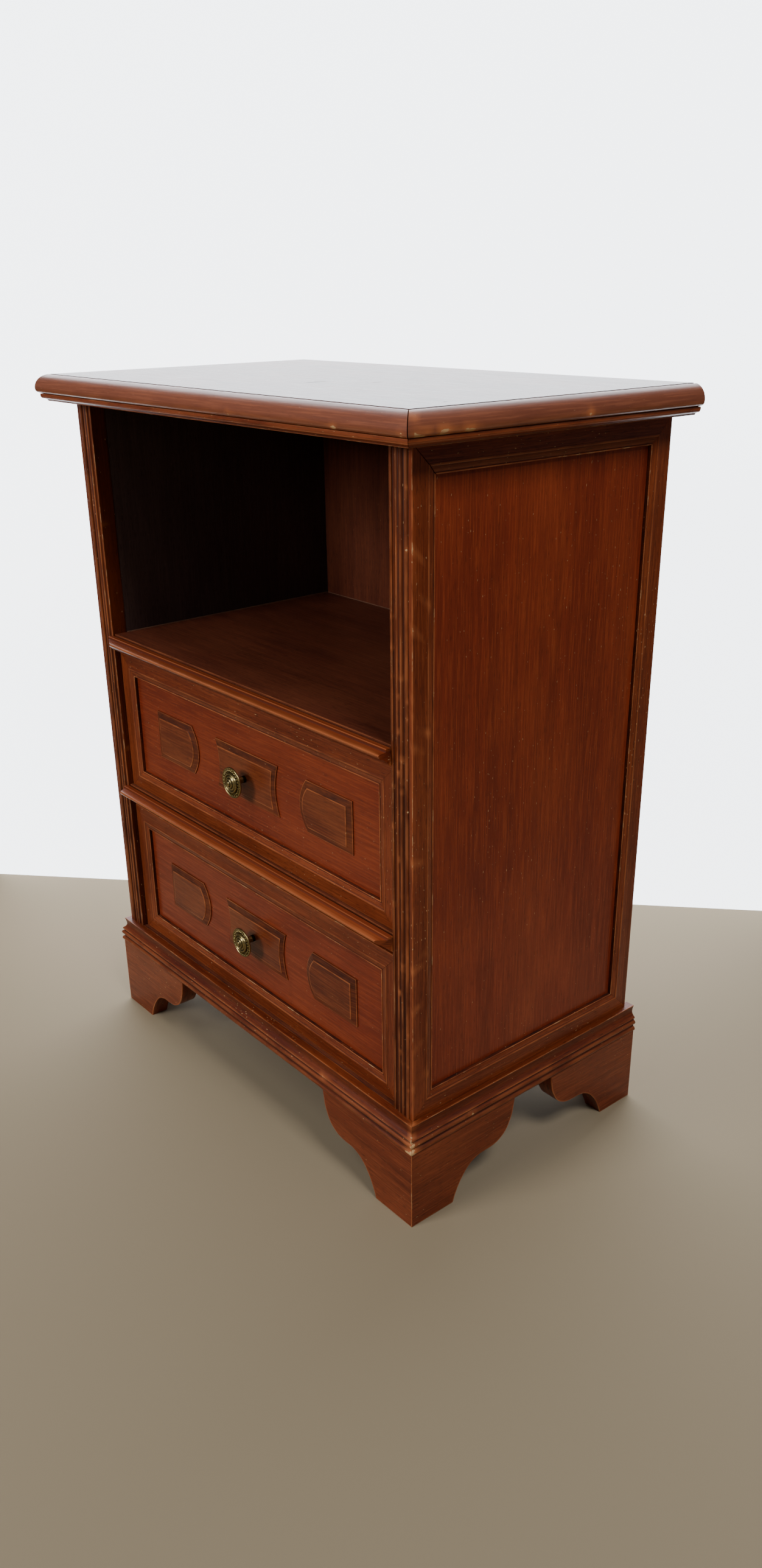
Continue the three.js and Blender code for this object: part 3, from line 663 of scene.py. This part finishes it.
vary = add_node(spread, "FunctionNodeRandomValue", {
    2: add_node(spread, "ShaderNodeMath", {0: 1.0, 1: given["Unevenness"]},
                operation="SUBTRACT").outputs[0],
    3: add_node(spread, "ShaderNodeMath", {0: 1.0, 1: given["Unevenness"]}, operation="ADD").outputs[0],
    "Seed": given["Seed"]}, data_type="FLOAT").outputs[1]
size = add_node(spread, "ShaderNodeVectorMath", {0: given["Size"], "Scale": vary},
                operation="SCALE").outputs[0]
set_out = add_node(spread, "GeometryNodeInstanceOnPoints", {
    "Points": places.outputs[0], "Instance": ball, "Rotation": turn, "Scale": size}).outputs[0]
joined = add_node(spread, "GeometryNodeRealizeInstances", {0: set_out}).outputs[0]
smooth = add_node(spread, "GeometryNodeSetShadeSmooth", {0: joined}).outputs[0]
painted = add_node(spread, "GeometryNodeSetMaterial", {
    "Geometry": smooth, "Material": given["Material"]}).outputs[0]
add_node(spread, "NodeGroupOutput", {0: painted})


def repeats(name, line, closed, material, body, slot, **values):
    """Sets the group's named inputs on a line of points and keeps the plain mesh it makes."""
    mesh = bpy.data.meshes.new(name + "_line")
    edges = [(i, i + 1) for i in range(len(line) - 1)] + ([(len(line) - 1, 0)] if closed else [])
    mesh.from_pydata(line, edges, [])
    made = bpy.data.objects.new(name, mesh)
    bpy.context.scene.collection.objects.link(made)
    modifier = made.modifiers.new("repeats", "NODES")
    modifier.node_group = spread
    sockets = {s.name: s.identifier for s in spread.interface.items_tree if s.item_type == "SOCKET"}
    for label, value in {**values, "Material": material}.items():
        modifier[sockets[label.replace("_", " ")]] = value
    evaluated = made.evaluated_get(bpy.context.evaluated_depsgraph_get())
    plain = bpy.data.meshes.new_from_object(evaluated)
    made.modifiers.clear()
    made.data = plain
    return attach(made, body)


def turned(name, profile, place, material, body, segments=96, stands_for=()):
    """A lathe-turned piece; the profile is radius and distance along the axis, from pole to pole."""
    fine = [profile[0]]
    for (r0, d0), (r1, d1) in zip(profile, profile[1:]):
        fine += [(r0 + (r1 - r0) * k / 3, d0 + (d1 - d0) * k / 3) for k in (1, 2, 3)]
    smooth_r, smooth_d = (np.array(v) for v in zip(*fine))
    for _ in range(2):
        smooth_r[1:-1] = smooth_r[:-2] * 0.25 + smooth_r[1:-1] * 0.5 + smooth_r[2:] * 0.25
        smooth_d[1:-1] = smooth_d[:-2] * 0.25 + smooth_d[1:-1] * 0.5 + smooth_d[2:] * 0.25
    hollow = np.zeros(len(fine))
    hollow[1:-1] = np.clip((smooth_d[:-2] + smooth_d[2:] - 2 * smooth_d[1:-1]) * 9, 0, 1)
    points, faces, darkening = [place(0, fine[0][1], 0)], [], [0.0]
    for r, d, h in list(zip(smooth_r, smooth_d, hollow))[1:-1]:
        for k in range(segments):
            a = 2 * math.pi * k / segments
            points.append(place(r * math.cos(a), d, r * math.sin(a)))
            darkening.append(h)
    points.append(place(0, fine[-1][1], 0))
    darkening.append(0.0)
    rows, end = len(fine) - 2, len(points) - 1
    for k in range(segments):
        n = (k + 1) % segments
        faces += [(0, 1 + n, 1 + k), (end, end - segments + k, end - segments + n)]
        faces += [(1 + r * segments + k, 1 + r * segments + n, 1 + (r + 1) * segments + n,
                   1 + (r + 1) * segments + k)
                  for r in range(rows - 1)]
    grain = np.zeros((sum(map(len, faces)), 2))
    made = make_piece(name, points, faces, grain, [0] * len(points), darkening, material, body, stands_for)
    return face_outwards(made)


KNOB = [(0, 0), (3.3, 0), (3.1, 0.6), (3.0, 5.0), (3.1, 8.6), (4.2, 10.2), (7.0, 11.2), (11.2, 11.8),
        (13.2, 12.1), (13.9, 12.7), (13.95, 13.4), (13.6, 14.1), (13.1, 14.2), (12.6, 13.6), (12.0, 13.3),
        (9.6, 13.3), (9.2, 13.6), (9.0, 14.8), (8.6, 15.6), (8.1, 15.8), (7.6, 15.5), (7.3, 14.9),
        (6.9, 14.8), (6.2, 15.4), (5.5, 16.0), (5.1, 15.6), (4.7, 15.5), (4.1, 16.6), (3.5, 17.1),
        (3.0, 16.7), (2.6, 16.7), (2.1, 17.7), (1.2, 18.1), (0, 18.2)]

# ---------------------------------------------------------------------------
# Drawers. Veneered fronts with planted frames and three bevelled plaques; pale
# boxes behind, the bottom held in grooves, the knob screwed from inside.
PLAQUES = {
    "left": ((-147.8, 0, 6.5, 0), (-87.3, 9.7, 4.2, 2.4)),
    "centre": ((-47.7, -4.7, 6.6, -2.6), (47.7, -4.7, 6.6, -2.6)),
    "right": ((87.3, 9.7, 4.2, 2.4), (147.8, 0, 6.5, 0)),
}
# each level of a plaque: its share of the bevel, its height, how dusty it is (on the bevel mostly painted
# shade) and how rubbed it is (at the field's and outer edges partly painted highlight)
LEVELS = ((0, 0, 1, 0), (0, 0.7, 0.6, 0.1), (0.0, 0.95, 0, 0.75), (0.06, 1.12, 0, 0.7),
          (0.14, 1.25, 0.65, 0), (0.5, 1.95, 0.7, 0), (0.82, 2.5, 0.8, 0), (0.88, 2.6, 1.1, 0),
          (0.9, 2.75, 0.6, 0.3), (0.91, 3.0, 0, 0.85), (0.98, 3.2, 0, 0.8), (1.1, 3.2, 0, 0))
PLAQUE_HALF, BEVEL_WIDE, PLAQUE_RISE, TRIM = 23.25, 6.2, 3.2, 2.4
DRAWER_FACE = span("upper_drawer_front_panel")[1][0]


def plaque(name, ends, zc, body):
    """A raised plaque; each end has its corner, the bow of its edge, its inset and what the bow loses."""
    steps, points, wear_and_highlight, darkening = 40, [], [], []
    for share, rise, dusty, rubbed_and_highlit in LEVELS:
        for e, (corner, bow, inset, loss) in enumerate(ends):
            out = (-1, 1)[e]
            for i in range(steps + 1):
                v = -out * (1 - 2 * i / steps)
                x = corner - out * inset * share + out * (bow - loss * share) * (1 - v * v)
                points.append(at(x, DRAWER_FACE - rise, zc + v * (PLAQUE_HALF - BEVEL_WIDE * share)))
                wear_and_highlight.append(rubbed_and_highlit)
                # painted shade: the bevel's dark mask is stronger towards the top and halved on the left end
                # below the top, as the light falls
                darkening.append(dusty * (0.6 + 0.4 * v) * (0.5 if e == 0 and v < 0.9 else 1))
    count = 2 * (steps + 1)
    last = (len(LEVELS) - 1) * count
    faces = rings(len(LEVELS), count) + [tuple(range(count))[::-1]]
    # the field is closed with strips across it, from one end to the other
    faces += [(last + i, last + i + 1, last + count - 2 - i, last + count - 1 - i) for i in range(steps)]
    grain = [(points[i][0] + zc * 0.01, points[i][2]) for f in faces for i in f]
    return face_outwards(make_piece(name + "_piece", points, faces, grain, wear_and_highlight, darkening, figured, body,
                                    (name,)))


for drawer in ("upper_drawer", "lower_drawer"):
    x, y, z = span(f"{drawer}_front_panel")
    zc = (z[0] + z[1] - TRIM) / 2
    board(f"{drawer}_front_panel", x, y, z, "x", veneer, drawer, "veneer")
    picture_frame(f"{drawer}_frame", ("top", "bottom", "left", "right"), x, z,
                  lambda u, v, h: at(u, DRAWER_FACE - h, v), trim=TRIM, body=drawer)
    for which, ends in PLAQUES.items():
        plaque(f"{drawer}_plaque_{which}", ends, zc, drawer)
    seat = DRAWER_FACE - PLAQUE_RISE
    kx, kz = (sum(span(f"{drawer}_knob")[i]) / 2 for i in (0, 2))
    turned(f"{drawer}_knob_turned", KNOB, lambda a, d, b: at(kx + a, seat - d, kz + b), brass, drawer,
           stands_for=(f"{drawer}_knob",))
    for label, radius, count, size, tilt in (("rope", 11.2, 26, (0.0006, 0.0007, 0.0017), 0.75),
                                             ("beads", 12.35, 44, (0.0004, 0.0004, 0.0006), 0.0)):
        ring = [at(kx + radius * math.cos(a), seat - 13.5, kz + radius * math.sin(a))
                for a in np.linspace(0, 2 * math.pi, 65)[:-1]]
        repeats(f"{drawer}_knob_{label}", ring, True, brass, drawer, "knob_brass", Count=count, Size=size,
                Tilt=tilt, Follow_line=True, Unevenness=0.05, Seed=3)
    turned(f"{drawer}_knob_screw", [(0, 0), (4.0, 0), (4.0, 0.8), (3.4, 1.5), (2.0, 2.0), (0, 2.1)],
           lambda a, d, b: at(kx + a, y[1] + d, kz + b), steel, drawer, segments=32)
    for part, grain_along in (("side_left", "y"), ("side_right", "y"), ("back", "x"), ("bottom", "x")):
        node = f"{drawer}_{part}"
        board(node, *span(node), grain_along, pale, drawer, "drawer_box_wood", joint=0)

# Back pins. Small steel pins hold the thin back panel along its edges.
x, y, z = span("back_panel")
corners = [(x[0] + 8, z[0] + 8), (x[1] - 8, z[0] + 8), (x[1] - 8, z[1] - 14), (x[0] + 8, z[1] - 14)]
repeats("back_panel_pins", [at(a, y[1] + 0.25, b) for a, b in corners], True, steel, "case",
        "interior_wood", Count=26, Size=(0.0015, 0.0005, 0.0015), Follow_line=False, Unevenness=0.1, Seed=7)

# ---------------------------------------------------------------------------
# Floor, light and camera. A plain pale floor, a softly glowing screen behind
# and wide soft lamps.
def ground(name, corners, colour, glow):
    """A plain sheet of floor or wall, softly lit."""
    finish = bpy.data.materials.new(name)
    finish.use_nodes = True
    shader = finish.node_tree.nodes["Principled BSDF"]
    shader.inputs["Base Color"].default_value = srgb(colour)
    shader.inputs["Roughness"].default_value = 0.8
    shader.inputs["Emission Color"].default_value = srgb(colour)
    shader.inputs["Emission Strength"].default_value = glow
    if glow:
        # the screen shows only its front, so it hides nothing from behind
        tree = finish.node_tree
        clear = add_node(tree, "ShaderNodeBsdfTransparent").outputs[0]
        away = add_node(tree, "ShaderNodeNewGeometry").outputs["Backfacing"]
        both = add_node(tree, "ShaderNodeMixShader", {0: away, 1: shader.outputs[0], 2: clear}).outputs[0]
        tree.links.new(both, tree.nodes["Material Output"].inputs["Surface"])
    sheet = bpy.data.meshes.new(name)
    sheet.from_pydata(corners, [], [(0, 1, 2, 3)])
    sheet.materials.append(finish)
    made = bpy.data.objects.new(name, sheet)
    bpy.context.scene.collection.objects.link(made)
    made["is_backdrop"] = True


ground("floor", [(-6, -6, 0), (6, -6, 0), (6, 6, 0), (-6, 6, 0)], "#867860", 0.0)
ground("wall", [(-0.63, -0.11, 0), (0.16, 0.622, 0), (0.16, 0.622, 1.2), (-0.63, -0.11, 1.2)],
       "#eef4fa", 4.5)

world = bpy.data.worlds.new("soft_grey")
bpy.context.scene.world = world
world.use_nodes = True
world.node_tree.nodes["Background"].inputs["Color"].default_value = srgb("#e4e7ea")
world.node_tree.nodes["Background"].inputs["Strength"].default_value = 0.15
for name, place, size, power in (("key", (0.1, -1.7, 2.7), 0.9, 14), ("fill", (1.9, -0.4, 2.7), 0.8, 54),
                                 ("low", (-0.25, -2.2, 1.35), 0.7, 32)):
    lamp = bpy.data.lights.new(name, "AREA")
    lamp.size, lamp.energy = size, power
    held = bpy.data.objects.new(name, lamp)
    held.location = place
    held.rotation_euler = (Vector((0, 0, 0.3)) - Vector(place)).to_track_quat("-Z", "Y").to_euler()
    bpy.context.scene.collection.objects.link(held)
    held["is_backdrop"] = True

YAW, PITCH, ROLL = 0.881, 0.417, -0.013
ahead = Vector((-math.sin(YAW) * math.cos(PITCH), math.cos(YAW) * math.cos(PITCH), -math.sin(PITCH)))
across = Vector((math.cos(YAW), math.sin(YAW), 0))
up = across.cross(ahead)
right = across * math.cos(ROLL) + up * math.sin(ROLL)
upward = up * math.cos(ROLL) - across * math.sin(ROLL)
lens = bpy.data.cameras.new("camera")
lens.lens, lens.sensor_width, lens.shift_x, lens.shift_y = 27.875, 36.0, 0.0004, 0.0241
lens.dof.use_dof = False
camera = bpy.data.objects.new("camera", lens)
camera.matrix_world = Matrix((
    (right.x, upward.x, -ahead.x, 0.83065), (right.y, upward.y, -ahead.y, -0.6481),
    (right.z, upward.z, -ahead.z, 0.71985), (0, 0, 0, 1)))
bpy.context.scene.collection.objects.link(camera)
bpy.context.scene.camera = camera

low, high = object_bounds()
